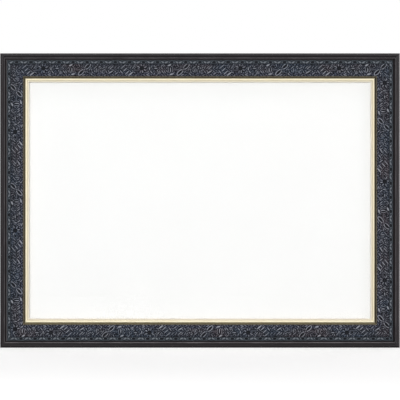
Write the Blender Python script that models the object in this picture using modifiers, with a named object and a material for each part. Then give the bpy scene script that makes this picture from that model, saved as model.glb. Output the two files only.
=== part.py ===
"""Wall frame for a jigsaw puzzle: four mitred rails, each with a pressed relief strip in its
channel and a gilt slip inside it, a clear front sheet, and a back panel held by turn buttons.

Metres, +Z up. X runs along the frame's length and the front faces -Y. The origin is the middle
of the whole frame, wall bumpers included.
"""

import math

import bmesh
import bpy
from mathutils import Matrix, Vector

MM = 0.001

# the assembled puzzle that the frame takes
PUZZLE_LENGTH = 735 * MM
PUZZLE_HEIGHT = 510 * MM
PUZZLE_PLAY = 1.5 * MM  # room on each side of the puzzle, inside the rebate
SIGHT_OVERLAP = 2.5 * MM  # how far the gilt slip covers the puzzle's edge

# rail section: widths run inwards from the outer edge, heights forwards from the back plane
RAIL_WIDTH = 62 * MM
RAIL_DEPTH = 22 * MM
BAND_WIDTH = 8 * MM
BAND_CROWN = 1.4 * MM
BEAD_WIDTH = 3.2 * MM
BEAD_DROP = 2.1 * MM  # the bead's foot below the band's crest
BEAD_CROWN = 0.9 * MM
GROOVE_WIDTH = 3.3 * MM
GROOVE_DROP = 4.8 * MM
RIDGE_WIDTH = 1.2 * MM
RIDGE_DROP = 3.6 * MM
CHANNEL_FLOOR = 12.5 * MM
CHANNEL_INNER_WALL = 2 * MM
SLOPE_WIDTH = 2.2 * MM
SLOPE_FALL = 1.7 * MM
SLOPE_CROWN = 0.2 * MM
EDGE_CHAMFER = 0.8 * MM

# pressed relief strip, bonded in the channel
STRIP_INNER_RISE = 2.1 * MM  # its ground above the channel's floor, at the inner edge
STRIP_OUTER_RISE = 5.4 * MM
STRIP_CROWN = 1.1 * MM
RELIEF_REPEAT = 210.8 * MM  # one length of the pattern
RELIEF_HEIGHT = 1.5 * MM
LEAF_RISE = 0.6 * MM  # mean height of the leaves, which swell and sink by as much
HOLLOW_DEPTH = 0.3 * MM  # the hollow between the border and the field
FILLET_RISE = 0.8 * MM
LOBES_PER_REPEAT = 7  # pairs of lobes in the strip's outer border
ROWS_PER_LOBE = 3
BORDER_MIDDLE = 2.9 * MM  # places across the strip, from its outer edge
BORDER_END = 6.2 * MM
VINE_MIDDLE = 20 * MM
VINE_SWING = 6.5 * MM
LEAF_OFFSET = 6 * MM
FILLET_MIDDLE = 1.1 * MM  # from the strip's inner edge
FIELD_END = 2.6 * MM

# gilt slip: a bead and a step on the rail's ledge, over a lip that hangs into the rebate
SLIP_WIDTH = 9 * MM
SLIP_LIP = 2.5 * MM  # the lip's thickness, which sets the height of the rail's ledge
SLIP_ROUND_WIDTH = 5.3 * MM
SLIP_SHOULDER = 1.4 * MM
SLIP_ROUND_CROWN = 2.6 * MM
SLIP_STEP_CROWN = 0.5 * MM

# what lies in the rebate, from the lip backwards
FRONT_SHEET = 1.5 * MM
PUZZLE_SPACE = 2.4 * MM
MOUNT_SHEET = 1 * MM
BACKING_BOARD = 3 * MM
SHEET_PLAY = 0.8 * MM  # room around the sheets and the board

# corner fasteners, two in each mitre
VNAIL_FROM_EDGE = (17 * MM, 42 * MM)
VNAIL_ARM = 5.5 * MM
VNAIL_THICKNESS = 0.6 * MM
VNAIL_HEIGHT = 7 * MM
VNAIL_HALF_ANGLE = math.radians(55)

# turn buttons: their places along the long and the short rails
BUTTONS_LONG = (-250 * MM, 0 * MM, 250 * MM)
BUTTONS_SHORT = (-110 * MM, 110 * MM)
BUTTON_LENGTH = 32 * MM
BUTTON_WIDTH = 11 * MM
BUTTON_THICKNESS = 1.2 * MM
BUTTON_FROM_REBATE = 9 * MM

# pan-head screws
SCREW_RADIUS = 1.4 * MM
SCREW_LENGTH = 9 * MM
SCREW_HEAD_RADIUS = 3.2 * MM
SCREW_HEAD_HEIGHT = 2 * MM
SCREW_HEAD_WALL = 0.6 * MM  # height of the head's upright side
SCREW_HEAD_TOP = 1.1 * MM  # radius of its flat top
SCREW_HEAD_DOME = 0.4 * MM

# strap hangers with a loose ring, on the side rails
HANGER_ABOVE_MIDDLE = 160 * MM
EYE_FROM_EDGE = 38 * MM
STRAP_LENGTH = 31 * MM
STRAP_WIDTH = 13 * MM
STRAP_SHEET = 0.8 * MM
STRAP_SCREWS = (12 * MM, 24 * MM)  # from the eye's axis
RING_WIRE = 1.2 * MM  # radius
RING_WIDTH = 22 * MM
RING_REACH = 13.5 * MM

# soft feet that keep the lower edge off the wall
BUMPER_RADIUS = 8 * MM
BUMPER_TAPER = 0.9 * MM
BUMPER_HEIGHT = 6.5 * MM
BUMPER_WALL = 2.6 * MM  # height of its upright side, below the taper
BUMPER_SIDES = 24
BUMPER_FROM_CORNER = 85 * MM
BUMPER_FROM_EDGE = 28 * MM

GAP = 0.3 * MM  # clearance between pieces that touch
CUT_PAST = 2 * MM  # how far a cutter runs out past the face it opens
ROUND_SIDES = 14

# sizes that follow
SIGHT_LENGTH = PUZZLE_LENGTH - 2 * SIGHT_OVERLAP
SIGHT_HEIGHT = PUZZLE_HEIGHT - 2 * SIGHT_OVERLAP
FRAME_LENGTH = SIGHT_LENGTH + 2 * RAIL_WIDTH
FRAME_HEIGHT = SIGHT_HEIGHT + 2 * RAIL_WIDTH
REBATE_DEPTH = GAP + FRONT_SHEET + PUZZLE_SPACE + MOUNT_SHEET + GAP + BACKING_BOARD
REBATE_EDGE = RAIL_WIDTH - SIGHT_OVERLAP - PUZZLE_PLAY
LEDGE_HEIGHT = REBATE_DEPTH + SLIP_LIP
LEDGE_START = RAIL_WIDTH - SLIP_WIDTH - GAP
CHANNEL_END = LEDGE_START - SLOPE_WIDTH
CHANNEL_START = BAND_WIDTH + BEAD_WIDTH + GROOVE_WIDTH
STRIP_WIDTH = CHANNEL_END - CHANNEL_START - 2 * GAP
SHEET_LENGTH = PUZZLE_LENGTH + 2 * (PUZZLE_PLAY - SHEET_PLAY)
SHEET_HEIGHT = PUZZLE_HEIGHT + 2 * (PUZZLE_PLAY - SHEET_PLAY)
BACK_PLANE_Y = (RAIL_DEPTH - GAP - BUMPER_HEIGHT) / 2
MITRE_SHIFT = GAP / math.sqrt(2)  # along a rail, so that two mitres lie one gap apart
EYE_RADIUS = RING_WIRE + GAP
EYE_HEIGHT = GAP + STRAP_SHEET + EYE_RADIUS

# for each side: its half length, its distance from the middle, and the way inwards
FORWARD = Vector((0, -1, 0))
SIDES = {
    "top": (FRAME_LENGTH / 2, FRAME_HEIGHT / 2, Vector((0, 0, -1))),
    "bottom": (FRAME_LENGTH / 2, FRAME_HEIGHT / 2, Vector((0, 0, 1))),
    "left": (FRAME_HEIGHT / 2, FRAME_LENGTH / 2, Vector((1, 0, 0))),
    "right": (FRAME_HEIGHT / 2, FRAME_LENGTH / 2, Vector((-1, 0, 0))),
}


def clear_scene():
    for obj in list(bpy.data.objects):
        bpy.data.objects.remove(obj, do_unlink=True)
    for collection in list(bpy.data.collections):
        bpy.data.collections.remove(collection)


def new_collection(name):
    collection = bpy.data.collections.new(name)
    bpy.context.scene.collection.children.link(collection)
    return collection


def finish(name, color, roughness, metallic=0.0, alpha=1.0):
    material = bpy.data.materials.new(name)
    material.use_nodes = True
    shader = material.node_tree.nodes["Principled BSDF"]
    shader.inputs["Base Color"].default_value = (*color, 1.0)
    shader.inputs["Roughness"].default_value = roughness
    shader.inputs["Metallic"].default_value = metallic
    shader.inputs["Alpha"].default_value = alpha
    return material


def frame_matrix(x_axis, y_axis, z_axis, place):
    matrix = Matrix((x_axis, y_axis, z_axis)).transposed().to_4x4()
    matrix.translation = place
    return matrix


def rail_frame(side):
    """Local X runs along the rail, Y inwards from its outer edge, Z forwards from the back."""
    _, reach, inward = SIDES[side]
    place = -inward * reach + Vector((0, BACK_PLANE_Y, 0))
    return frame_matrix(inward.cross(FORWARD), inward, FORWARD, place)


def back_frame(side, along, from_edge):
    """A place on the rail's back: local X along the rail, Y outwards, Z out of the back."""
    rail = rail_frame(side)
    along_axis = rail.to_3x3() @ Vector((1, 0, 0))
    inward = SIDES[side][2]
    place = rail @ Vector((along, from_edge, 0))
    return frame_matrix(along_axis, -inward, -FORWARD, place)


def link(obj, collection, material=None, matrix=None, parent=None):
    collection.objects.link(obj)
    if material:
        obj.data.materials.append(material)
    if matrix:
        obj.matrix_world = matrix
    if parent:
        world = obj.matrix_world.copy()
        obj.parent = parent
        obj.matrix_parent_inverse = parent.matrix_world.inverted()
        obj.matrix_world = world
    return obj


def pivot(name, collection, matrix):
    """An empty on a moving piece's axis, with the axis along its local Z."""
    empty = bpy.data.objects.new(name, None)
    empty.empty_display_size = 0.01
    collection.objects.link(empty)
    empty.matrix_world = matrix
    return empty


def crown(start, end, rise, steps):
    """Points from start to end on a shallow arch that stands rise above the chord."""
    points = []
    for i in range(steps + 1):
        t = i / steps
        across = start[0] + (end[0] - start[0]) * t
        up = start[1] + (end[1] - start[1]) * t + 4 * rise * t * (1 - t)
        points.append((across, up))
    return points


def arc(center, radius, start_deg, end_deg, steps):
    turn = [math.radians(start_deg + (end_deg - start_deg) * i / steps) for i in range(steps + 1)]
    return [(center[0] + radius * math.cos(a), center[1] + radius * math.sin(a)) for a in turn]


def plate(name, outlines, thickness):
    """A flat plate on local Z = 0 from its outline and the outlines of its holes."""
    curve = bpy.data.curves.new(name, "CURVE")
    curve.dimensions = "2D"
    curve.fill_mode = "BOTH"
    curve.extrude = thickness / 2
    for outline in outlines:
        spline = curve.splines.new("POLY")
        spline.points.add(len(outline) - 1)
        for point, (x, y) in zip(spline.points, outline):
            point.co = (x, y, thickness / 2, 1)
        spline.use_cyclic_u = True
    return bpy.data.objects.new(name, curve)


def mitred(name, section, half_length):
    """A length of moulding: the section carried along local X, its ends cut at 45 degrees."""
    bm = bmesh.new()
    ring = [bm.verts.new((-1, across, up)) for across, up in section]
    face = bm.faces.new(ring)
    grown = bmesh.ops.extrude_face_region(bm, geom=[face])
    for vert in grown["geom"]:
        if isinstance(vert, bmesh.types.BMVert):
            vert.co.x = 1
    for vert in bm.verts:
        vert.co.x *= half_length - vert.co.y - MITRE_SHIFT
    bmesh.ops.recalc_face_normals(bm, faces=bm.faces)
    mesh = bpy.data.meshes.new(name)
    bm.to_mesh(mesh)
    bm.free()
    return bpy.data.objects.new(name, mesh)


def box(name, length, depth, height, place):
    bm = bmesh.new()
    bmesh.ops.create_cube(bm, size=1, matrix=Matrix.Diagonal((length, depth, height, 1)))
    mesh = bpy.data.meshes.new(name)
    bm.to_mesh(mesh)
    bm.free()
    obj = bpy.data.objects.new(name, mesh)
    obj.location = place
    return obj


def turned(name, profile, sides=ROUND_SIDES):
    """A solid of revolution about local Z from a profile that runs down its outer side."""
    mesh = bpy.data.meshes.new(name)
    edges = [(i, i + 1) for i in range(len(profile) - 1)]
    mesh.from_pydata([(r, 0, z) for r, z in profile], edges, [])
    obj = bpy.data.objects.new(name, mesh)
    screw = obj.modifiers.new("Turn", "SCREW")
    screw.steps = sides
    screw.render_steps = sides
    screw.use_merge_vertices = True
    screw.merge_threshold = 0.00001
    return obj


def cylinder_cutter(name, radius, low, high, matrix, cutters):
    """A round cutter about local Z whose flats clear the radius."""
    bm = bmesh.new()
    bmesh.ops.create_cone(
        bm,
        cap_ends=True,
        segments=ROUND_SIDES,
        radius1=radius / math.cos(math.pi / ROUND_SIDES),
        radius2=radius / math.cos(math.pi / ROUND_SIDES),
        depth=high - low,
        matrix=Matrix.Translation((0, 0, (low + high) / 2)),
    )
    mesh = bpy.data.meshes.new(name)
    bm.to_mesh(mesh)
    bm.free()
    return as_cutter(bpy.data.objects.new(name, mesh), matrix, cutters)


def as_cutter(obj, matrix, cutters):
    link(obj, cutters, matrix=matrix)
    if obj.type == "CURVE":
        obj = to_mesh_object(obj, cutters)
    obj.hide_render = True
    obj.display_type = "WIRE"
    return obj


def cut(obj, cutter):
    modifier = obj.modifiers.new("Cut " + cutter.name, "BOOLEAN")
    modifier.operation = "DIFFERENCE"
    modifier.solver = "EXACT"
    modifier.object = cutter


def to_mesh_object(obj, collection):
    """Turns a linked curve object into a mesh object with welded caps."""
    depsgraph = bpy.context.evaluated_depsgraph_get()
    mesh = bpy.data.meshes.new_from_object(obj.evaluated_get(depsgraph))
    bm = bmesh.new()
    bm.from_mesh(mesh)
    bmesh.ops.remove_doubles(bm, verts=bm.verts, dist=0.00001)
    bmesh.ops.recalc_face_normals(bm, faces=bm.faces)
    bm.to_mesh(mesh)
    bm.free()
    name = obj.name
    matrix = obj.matrix_world.copy()
    bpy.data.objects.remove(obj, do_unlink=True)
    solid = bpy.data.objects.new(name, mesh)
    collection.objects.link(solid)
    solid.matrix_world = matrix
    return solid


def rail_section():
    """The wooden rail: rebate wall, ledge, inner slope, channel, groove, bead, outer band."""
    bead_end = BAND_WIDTH + BEAD_WIDTH
    bead_foot = RAIL_DEPTH - BEAD_DROP
    groove_middle = (bead_end + CHANNEL_START - RIDGE_WIDTH) / 2
    slope_top = CHANNEL_FLOOR + CHANNEL_INNER_WALL
    band_foot = RAIL_DEPTH - BAND_CROWN
    points = [
        (EDGE_CHAMFER, 0),
        (REBATE_EDGE, 0),
        (REBATE_EDGE, LEDGE_HEIGHT),
        (LEDGE_START, LEDGE_HEIGHT),
    ]
    points += crown((LEDGE_START, slope_top - SLOPE_FALL), (CHANNEL_END, slope_top), SLOPE_CROWN, 3)
    points += [
        (CHANNEL_END, CHANNEL_FLOOR),
        (CHANNEL_START, CHANNEL_FLOOR),
        (CHANNEL_START, RAIL_DEPTH - RIDGE_DROP),
        (CHANNEL_START - RIDGE_WIDTH, RAIL_DEPTH - RIDGE_DROP),
        (groove_middle, RAIL_DEPTH - GROOVE_DROP),
    ]
    points += crown((bead_end, bead_foot), (BAND_WIDTH, bead_foot), BEAD_CROWN, 4)
    points += crown((BAND_WIDTH, band_foot), (0, band_foot), BAND_CROWN, 8)
    points.append((0, EDGE_CHAMFER))
    return points


def relief_row(along):
    """One line of points across the strip's face: how far across, and how high on its ground.

    Lobes swell in the outer border, a vine swings from side to side of the field, and leaves
    stand by turns on either side of it. A thin fillet closes the inner edge.
    """
    turn = 2 * math.pi * along / RELIEF_REPEAT
    lobe = math.cos(LOBES_PER_REPEAT * turn)
    vine = VINE_MIDDLE + VINE_SWING * math.sin(2 * turn)
    leaf = math.cos(LOBES_PER_REPEAT * ROWS_PER_LOBE * turn / 2)
    return [
        (0, 0),
        (BORDER_MIDDLE, RELIEF_HEIGHT * (1 + lobe) / 2),
        (BORDER_END, -HOLLOW_DEPTH),
        (vine - LEAF_OFFSET, LEAF_RISE * (1 + leaf)),
        (vine, RELIEF_HEIGHT),
        (vine + LEAF_OFFSET, LEAF_RISE * (1 - leaf)),
        (STRIP_WIDTH - FIELD_END, -HOLLOW_DEPTH),
        (STRIP_WIDTH - FILLET_MIDDLE, FILLET_RISE),
        (STRIP_WIDTH, 0),
    ]


def strip_ground(across):
    """The strip's plain surface above the back plane: a shallow arch that falls inwards."""
    t = across / STRIP_WIDTH
    fall = STRIP_OUTER_RISE + (STRIP_INNER_RISE - STRIP_OUTER_RISE) * t
    return CHANNEL_FLOOR + fall + 4 * STRIP_CROWN * t * (1 - t)


def relief_strip(name, half_length):
    """A loft through the rows of the relief, closed by flat walls and cut to the mitres."""
    start = CHANNEL_START + GAP
    base = CHANNEL_FLOOR + GAP
    pitch = RELIEF_REPEAT / (LOBES_PER_REPEAT * ROWS_PER_LOBE)
    rows = 2 * math.ceil(half_length / pitch) + 1
    bm = bmesh.new()
    grid = []
    for i in range(rows):
        along = (i - (rows - 1) / 2) * pitch
        row = [(start + across, strip_ground(across) + up) for across, up in relief_row(along)]
        grid.append([bm.verts.new((along, across, up)) for across, up in row])
    for low, high in zip(grid, grid[1:]):
        for a, b, c, d in zip(low, low[1:], high[1:], high):
            bm.faces.new((a, b, c, d))
    feet = [bm.verts.new((end[column].co.x, end[column].co.y, base))
            for end, column in ((grid[0], 0), (grid[0], -1), (grid[-1], -1), (grid[-1], 0))]
    bm.faces.new(feet)
    bm.faces.new([feet[0], feet[3], *[row[0] for row in reversed(grid)]])
    bm.faces.new([feet[2], feet[1], *[row[-1] for row in grid]])
    bm.faces.new([feet[1], feet[0], *grid[0]])
    bm.faces.new([feet[3], feet[2], *reversed(grid[-1])])
    for sign in (-1, 1):
        mitre = bmesh.ops.bisect_plane(
            bm,
            geom=bm.verts[:] + bm.edges[:] + bm.faces[:],
            plane_co=(sign * (half_length - MITRE_SHIFT), 0, 0),
            plane_no=(sign, 1, 0),
            clear_outer=True,
        )
        rim = [edge for edge in mitre["geom_cut"] if isinstance(edge, bmesh.types.BMEdge)]
        bmesh.ops.edgeloop_fill(bm, edges=rim)
    bmesh.ops.recalc_face_normals(bm, faces=bm.faces)
    mesh = bpy.data.meshes.new(name)
    bm.to_mesh(mesh)
    bm.free()
    return bpy.data.objects.new(name, mesh)


def slip_section():
    start = RAIL_WIDTH - SLIP_WIDTH
    base = LEDGE_HEIGHT + GAP
    shoulder = base + SLIP_SHOULDER
    valley = start + SLIP_ROUND_WIDTH
    lip = REBATE_EDGE + GAP
    points = [(start, base), (lip, base), (lip, REBATE_DEPTH), (RAIL_WIDTH, REBATE_DEPTH)]
    points += crown((RAIL_WIDTH, shoulder), (valley, shoulder), SLIP_STEP_CROWN, 3)
    points += crown((valley, shoulder), (start, shoulder), SLIP_ROUND_CROWN, 8)[1:]
    return points


def vnail_outline(swell):
    """A V with its point on the mitre, arms spread inwards; swell widens it all round."""
    half = VNAIL_THICKNESS / 2 + swell
    along = Vector((math.cos(VNAIL_HALF_ANGLE), math.sin(VNAIL_HALF_ANGLE)))
    normal = Vector((-along.y, along.x))
    tip = along * (VNAIL_ARM + swell)
    outer_point = -half / math.sin(VNAIL_HALF_ANGLE)
    inner_point = half / math.sin(VNAIL_HALF_ANGLE)
    upper = [tip + normal * half, tip - normal * half]
    points = [(outer_point, 0), *[(p.x, p.y) for p in upper], (inner_point, 0)]
    points += [(p.x, -p.y) for p in reversed(upper)]
    return points


def corner_frame(x_sign, z_sign, from_edge):
    """A place on a mitre at the back: local X runs inwards along it, Z forwards."""
    inward = Vector((-x_sign, 0, -z_sign)).normalized()
    reach = Vector((FRAME_LENGTH / 2 - from_edge, 0, FRAME_HEIGHT / 2 - from_edge))
    place = Vector((x_sign * reach.x, BACK_PLANE_Y, z_sign * reach.z))
    return frame_matrix(inward, FORWARD.cross(inward), FORWARD, place)


def build_rails(parts, materials):
    rails = {}
    for side, (half_length, _, _) in SIDES.items():
        matrix = rail_frame(side)
        rail = mitred("rail_" + side, rail_section(), half_length)
        rails[side] = link(rail, parts, materials["rail"], matrix)
        strip = relief_strip("relief_strip_" + side, half_length)
        link(strip, parts, materials["relief"], matrix)
        slip = mitred("gilt_slip_" + side, slip_section(), half_length)
        link(slip, parts, materials["gilt"], matrix)
    return rails


def build_vnails(parts, cutters, materials, rails):
    corners = {
        "top_left": (-1, 1),
        "top_right": (1, 1),
        "bottom_left": (-1, -1),
        "bottom_right": (1, -1),
    }
    for corner, (x_sign, z_sign) in corners.items():
        for number, from_edge in enumerate(VNAIL_FROM_EDGE, start=1):
            name = f"corner_nail_{corner}_{number}"
            matrix = corner_frame(x_sign, z_sign, from_edge)
            nail = plate(name, [vnail_outline(0)], VNAIL_HEIGHT)
            raised = matrix @ Matrix.Translation((0, 0, GAP))
            link(nail, parts, materials["steel"], raised)
            slot = plate("slot_" + name, [vnail_outline(GAP)], CUT_PAST + VNAIL_HEIGHT + 2 * GAP)
            slot = as_cutter(slot, matrix @ Matrix.Translation((0, 0, -CUT_PAST)), cutters)
            for side in corner.split("_"):
                cut(rails[side], slot)


def add_screw(name, matrix, grip, rail, parts, cutters, materials):
    """A pan-head screw that holds a plate of thickness grip, and its pilot hole in the rail."""
    seat = GAP + grip + GAP
    tip = seat - SCREW_LENGTH
    rim = (SCREW_HEAD_RADIUS, SCREW_HEAD_WALL)
    dome = crown((SCREW_HEAD_TOP, SCREW_HEAD_HEIGHT), rim, SCREW_HEAD_DOME, 3)
    profile = [(0, seat + SCREW_HEAD_HEIGHT)]
    profile += [(r, seat + z) for r, z in dome]
    profile += [
        (SCREW_HEAD_RADIUS, seat),
        (SCREW_RADIUS, seat),
        (SCREW_RADIUS, tip + 2 * SCREW_RADIUS),
        (0, tip),
    ]
    screw = turned(name, profile)
    link(screw, parts, materials["zinc"], matrix)
    hole = cylinder_cutter("hole_" + name, SCREW_RADIUS + GAP, tip - GAP, CUT_PAST, matrix, cutters)
    cut(rail, hole)


def button_outline():
    half = BUTTON_WIDTH / 2
    reach = BUTTON_LENGTH - BUTTON_WIDTH
    points = arc((0, 0), half, 90, 270, 8)
    points += arc((reach, 0), half, -90, 90, 8)
    return points


def circle(radius, sides=ROUND_SIDES):
    """A round hole's outline whose flats clear the radius."""
    return arc((0, 0), radius / math.cos(math.pi / sides), 0, 360 - 360 / sides, sides - 1)


def build_buttons(parts, cutters, materials, rails):
    places = {"top": BUTTONS_LONG, "bottom": BUTTONS_LONG, "left": BUTTONS_SHORT, "right": BUTTONS_SHORT}
    for side, alongs in places.items():
        for number, along in enumerate(alongs, start=1):
            name = f"turn_button_{side}_{number}"
            matrix = back_frame(side, along, REBATE_EDGE - BUTTON_FROM_REBATE)
            axis = pivot("pivot_" + name, parts, matrix)
            button = plate(name, [button_outline(), circle(SCREW_RADIUS + GAP)], BUTTON_THICKNESS)
            seated = matrix @ Matrix.Translation((0, 0, GAP))
            link(button, parts, materials["brass"], seated, axis)
            add_screw(
                f"button_screw_{side}_{number}",
                matrix,
                BUTTON_THICKNESS,
                rails[side],
                parts,
                cutters,
                materials,
            )


def strap_profile():
    """Side view of the folded strap: X runs outwards from the eye's axis, Y out of the back."""
    outer = EYE_RADIUS + STRAP_SHEET
    top = GAP + 2 * STRAP_SHEET
    meet = math.degrees(math.asin((top - EYE_HEIGHT) / outer))
    return [(STRAP_LENGTH, GAP), (STRAP_LENGTH, top)] + arc((0, EYE_HEIGHT), outer, meet, 270, 14)


def strap_plan():
    """The strap seen from behind: a strip with a round tail end."""
    half = STRAP_WIDTH / 2
    eye = EYE_RADIUS + 2 * STRAP_SHEET
    points = [(-half, -eye)]
    points += [(half, -eye)]
    points += arc((0, STRAP_LENGTH - half), half, 0, 180, 10)
    return points


def ring_route():
    """A D: the straight bar along X at Y = 0, the bow reaching towards -Y."""
    half = RING_WIDTH / 2 - RING_WIRE
    corner = 2 * RING_WIRE
    reach = RING_REACH - RING_WIRE
    points = [(half - corner, 0)]
    points += arc((-half + corner, -corner), corner, 90, 180, 3)
    bow = [math.pi + math.pi * i / 12 for i in range(13)]
    points += [(half * math.cos(a), -corner + (reach - corner) * math.sin(a)) for a in bow][1:-1]
    points += arc((half - corner, -corner), corner, 0, 90, 3)[:-1]
    return points


def build_hangers(parts, cutters, materials, rails):
    for side, along in (("left", -HANGER_ABOVE_MIDDLE), ("right", HANGER_ABOVE_MIDDLE)):
        matrix = back_frame(side, along, EYE_FROM_EDGE)
        on_side = Matrix(((0, 0, 1, 0), (1, 0, 0, 0), (0, 1, 0, 0), (0, 0, 0, 1)))
        strap = plate(f"hanger_strap_{side}", [strap_profile(), eye_hole()], STRAP_WIDTH)
        centred = matrix @ on_side @ Matrix.Translation((0, 0, -STRAP_WIDTH / 2))
        link(strap, parts, materials["zinc"], centred)
        strap = to_mesh_object(strap, parts)
        strap.data.materials.append(materials["zinc"])
        trim = plate("trim_" + strap.name, [strap_plan()], 4 * EYE_HEIGHT)
        trim = as_cutter(trim, matrix @ Matrix.Translation((0, 0, -CUT_PAST)), cutters)
        shape = strap.modifiers.new("Round tail", "BOOLEAN")
        shape.operation = "INTERSECT"
        shape.solver = "EXACT"
        shape.object = trim
        for number, distance in enumerate(STRAP_SCREWS, start=1):
            place = matrix @ Matrix.Translation((0, distance, 0))
            name = f"hanger_screw_{side}_{number}"
            hole = cylinder_cutter(
                "strap_hole_" + name,
                SCREW_RADIUS + GAP,
                -CUT_PAST,
                2 * EYE_HEIGHT,
                place,
                cutters,
            )
            cut(strap, hole)
            add_screw(name, place, 2 * STRAP_SHEET, rails[side], parts, cutters, materials)
        build_ring(f"hanger_ring_{side}", matrix @ Matrix.Translation((0, 0, EYE_HEIGHT)), parts, materials)


def eye_hole():
    return [(x, y + EYE_HEIGHT) for x, y in circle(EYE_RADIUS)]


def build_ring(name, matrix, parts, materials):
    curve = bpy.data.curves.new(name, "CURVE")
    curve.dimensions = "3D"
    curve.bevel_depth = RING_WIRE
    curve.bevel_resolution = 2
    route = ring_route()
    spline = curve.splines.new("POLY")
    spline.points.add(len(route) - 1)
    for point, (x, y) in zip(spline.points, route):
        point.co = (x, y, 0, 1)
    spline.use_cyclic_u = True
    link(bpy.data.objects.new(name, curve), parts, materials["zinc"], matrix)


def build_bumpers(parts, materials):
    profile = [
        (0, GAP + BUMPER_HEIGHT),
        (BUMPER_RADIUS - BUMPER_TAPER, GAP + BUMPER_HEIGHT),
        (BUMPER_RADIUS, GAP + BUMPER_WALL),
        (BUMPER_RADIUS, GAP),
        (0, GAP),
    ]
    for side, sign in (("left", -1), ("right", 1)):
        along = sign * (FRAME_LENGTH / 2 - BUMPER_FROM_CORNER)
        matrix = back_frame("bottom", along, BUMPER_FROM_EDGE)
        foot = turned("wall_bumper_" + side, profile, BUMPER_SIDES)
        link(foot, parts, materials["rubber"], matrix)


def build_sheets(parts, materials):
    front = BACK_PLANE_Y - REBATE_DEPTH
    glazing_y = front + GAP + FRONT_SHEET / 2
    glazing = box("front_sheet", SHEET_LENGTH, FRONT_SHEET, SHEET_HEIGHT, (0, glazing_y, 0))
    link(glazing, parts, materials["clear"])
    board_y = BACK_PLANE_Y - BACKING_BOARD / 2
    mount_y = BACK_PLANE_Y - BACKING_BOARD - GAP - MOUNT_SHEET / 2
    panel = pivot("pivot_back_panel", parts, Matrix.Translation((0, board_y, 0)))
    board = box("backing_board", SHEET_LENGTH, BACKING_BOARD, SHEET_HEIGHT, (0, board_y, 0))
    link(board, parts, materials["board"], Matrix.Translation((0, board_y, 0)), panel)
    sheet = box("mount_sheet", SHEET_LENGTH, MOUNT_SHEET, SHEET_HEIGHT, (0, mount_y, 0))
    link(sheet, parts, materials["card"], Matrix.Translation((0, mount_y, 0)), panel)


def main():
    clear_scene()
    parts = new_collection("Jigsaw puzzle frame")
    cutters = new_collection("Cutters")
    materials = {
        "rail": finish("Dark satin lacquer", (0.028, 0.024, 0.027), 0.38),
        "relief": finish("Slate relief composition", (0.055, 0.06, 0.075), 0.42),
        "gilt": finish("Pale gilt", (0.86, 0.78, 0.56), 0.3, 0.6),
        "steel": finish("Steel nail", (0.45, 0.45, 0.46), 0.35, 1.0),
        "zinc": finish("Zinc plate", (0.62, 0.63, 0.64), 0.32, 1.0),
        "brass": finish("Brassed steel", (0.72, 0.53, 0.25), 0.3, 1.0),
        "rubber": finish("Grey rubber", (0.08, 0.08, 0.08), 0.8),
        "clear": finish("Clear sheet", (0.95, 0.97, 0.98), 0.05, 0.0, 0.25),
        "card": finish("White card", (0.9, 0.9, 0.89), 0.7),
        "board": finish("Brown hardboard", (0.22, 0.12, 0.06), 0.7),
    }
    rails = build_rails(parts, materials)
    build_vnails(parts, cutters, materials, rails)
    build_buttons(parts, cutters, materials, rails)
    build_hangers(parts, cutters, materials, rails)
    build_bumpers(parts, materials)
    build_sheets(parts, materials)


main()
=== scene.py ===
import math

import bpy
import numpy as np
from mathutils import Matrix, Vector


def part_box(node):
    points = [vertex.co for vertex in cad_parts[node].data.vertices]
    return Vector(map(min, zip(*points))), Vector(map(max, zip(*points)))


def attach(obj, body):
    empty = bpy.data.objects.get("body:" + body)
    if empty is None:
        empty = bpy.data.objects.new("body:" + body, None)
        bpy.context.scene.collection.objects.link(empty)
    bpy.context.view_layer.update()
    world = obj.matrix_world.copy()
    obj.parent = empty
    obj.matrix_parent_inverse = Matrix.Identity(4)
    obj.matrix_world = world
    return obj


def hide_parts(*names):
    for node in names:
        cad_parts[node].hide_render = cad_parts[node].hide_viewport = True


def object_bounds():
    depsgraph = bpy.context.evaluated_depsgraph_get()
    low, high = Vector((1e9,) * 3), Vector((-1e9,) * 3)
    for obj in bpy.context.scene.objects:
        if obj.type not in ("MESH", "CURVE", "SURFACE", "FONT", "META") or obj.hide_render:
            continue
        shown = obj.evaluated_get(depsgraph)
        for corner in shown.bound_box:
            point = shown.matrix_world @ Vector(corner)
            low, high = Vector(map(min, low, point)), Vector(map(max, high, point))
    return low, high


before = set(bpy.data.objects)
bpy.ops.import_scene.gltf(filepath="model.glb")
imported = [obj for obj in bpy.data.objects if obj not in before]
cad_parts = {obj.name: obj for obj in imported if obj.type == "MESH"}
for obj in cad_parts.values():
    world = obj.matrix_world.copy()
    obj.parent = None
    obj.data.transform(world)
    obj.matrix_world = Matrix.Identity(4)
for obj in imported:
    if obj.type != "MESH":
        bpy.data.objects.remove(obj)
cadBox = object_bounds()
mm = 0.001
print("frame loaded:", len(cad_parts), "nodes")

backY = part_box("backing_board")[1].y  # the plane of the rails' backs
halfLength = cadBox[1].x
halfHeight = cadBox[1].z

# each side's own axes: along the rail, and inwards from its outer edge
sides = {
    "top": {"along": (-1, 0, 0), "inward": (0, 0, -1), "half": halfLength, "reach": halfHeight},
    "bottom": {"along": (1, 0, 0), "inward": (0, 0, 1), "half": halfLength, "reach": halfHeight},
    "left": {"along": (0, 0, -1), "inward": (1, 0, 0), "half": halfHeight, "reach": halfLength},
    "right": {"along": (0, 0, 1), "inward": (-1, 0, 0), "half": halfHeight, "reach": halfLength},
}
mitreShift = 0.02 * mm  # the mitres are drawn closed, with a hairline between them


def onSide(side, along, inward, up):
    # outer edge's middle + along * rail direction + inward * inward direction + up * forward
    place = sides[side]
    axes = np.array((place["along"], place["inward"], (0, -1, 0)), float)
    start = -axes[1] * place["reach"] + (0, backY, 0)
    return start + np.stack(np.broadcast_arrays(along, inward, up), -1) @ axes


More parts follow.
